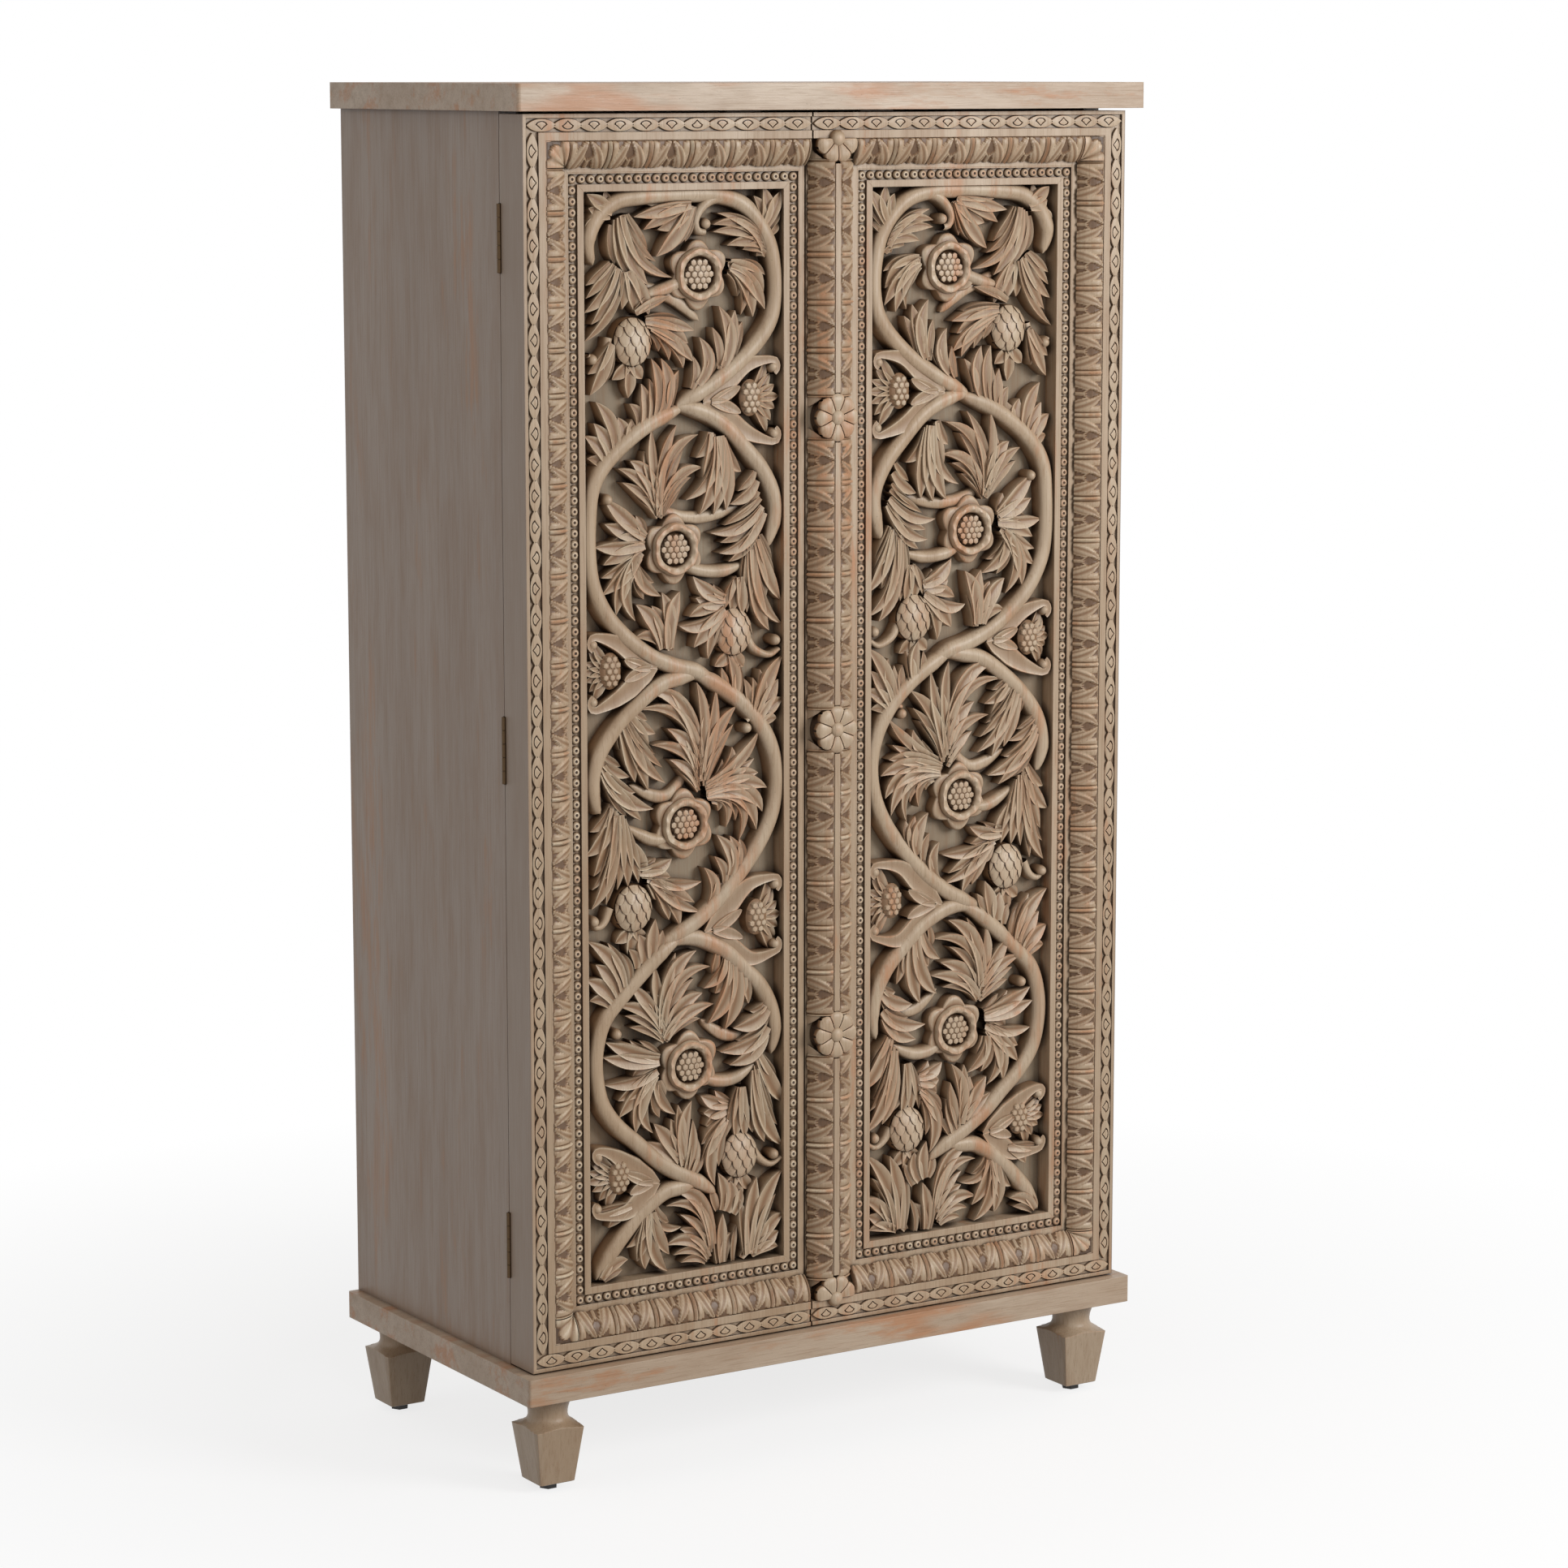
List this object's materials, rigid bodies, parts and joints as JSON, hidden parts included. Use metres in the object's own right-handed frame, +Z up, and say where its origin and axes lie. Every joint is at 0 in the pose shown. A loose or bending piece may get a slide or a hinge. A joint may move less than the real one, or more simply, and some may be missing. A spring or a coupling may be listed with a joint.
{
  "type": "storage cabinet",
  "caption": "Tall free-standing storage cabinet with two hinged doors, pierced scroll-carved panels, shelves inside and turned, tapered feet.",
  "frame": {"origin": "on the floor under the middle of the cabinet's bounding box", "axes": "+Z up, the doors' faces towards -Y, +X to the right of a viewer facing the doors"},
  "size_m": [0.84, 0.45, 1.587],
  "materials": {
    "painted_wood": "antiqued grey-beige paint, rubbed through to warm wood on the edges",
    "inner_wood": "plain washed wood, matt",
    "hinge_brass": "aged, dull",
    "catch_plastic": "moulded, brown",
    "strike_steel": "plain plated",
    "glide_plastic": "moulded, black"
  },
  "bodies": {
    "root": {"back_left_foot": "painted_wood", "back_panel": "inner_wood", "back_right_foot": "painted_wood", "base_board": "painted_wood", "foot_glides": "glide_plastic", "front_left_foot": "painted_wood", "front_right_foot": "painted_wood", "left_catch": "catch_plastic", "left_hinge_frame_leaves": "hinge_brass", "left_hinge_pins": "hinge_brass", "left_lower_cleat": "inner_wood", "left_middle_cleat": "inner_wood", "left_side_panel": "painted_wood", "left_upper_cleat": "inner_wood", "lower_shelf": "inner_wood", "middle_shelf": "inner_wood", "right_catch": "catch_plastic", "right_hinge_frame_leaves": "hinge_brass", "right_hinge_pins": "hinge_brass", "right_lower_cleat": "inner_wood", "right_middle_cleat": "inner_wood", "right_side_panel": "painted_wood", "right_upper_cleat": "inner_wood", "top_board": "painted_wood", "upper_shelf": "inner_wood"},
    "left_door": {"left_backing_panel": "painted_wood", "left_bottom_bead_strip": "painted_wood", "left_bottom_rail": "painted_wood", "left_fret": "painted_wood", "left_hinge_door_leaves": "hinge_brass", "left_hinge_stile": "painted_wood", "left_inner_bead_strip": "painted_wood", "left_meeting_stile": "painted_wood", "left_outer_bead_strip": "painted_wood", "left_strike_plate": "strike_steel", "left_top_bead_strip": "painted_wood", "left_top_rail": "painted_wood"},
    "right_door": {"right_backing_panel": "painted_wood", "right_bottom_bead_strip": "painted_wood", "right_bottom_rail": "painted_wood", "right_fret": "painted_wood", "right_hinge_door_leaves": "hinge_brass", "right_hinge_stile": "painted_wood", "right_inner_bead_strip": "painted_wood", "right_meeting_stile": "painted_wood", "right_outer_bead_strip": "painted_wood", "right_strike_plate": "strike_steel", "right_top_bead_strip": "painted_wood", "right_top_rail": "painted_wood", "astragal": "painted_wood", "astragal_rosettes": "painted_wood"}
  },
  "joints": [
    {"name": "left_door_hinge", "type": "hinge", "parent": "root", "child": "left_door", "pos_m": [-0.4058, -0.1545, 0.852], "axis": [0, 0, -1], "range_deg": [0, 175]},
    {"name": "right_door_hinge", "type": "hinge", "parent": "root", "child": "right_door", "pos_m": [0.4058, -0.1545, 0.852], "axis": [0, 0, 1], "range_deg": [0, 175]}
  ]
}
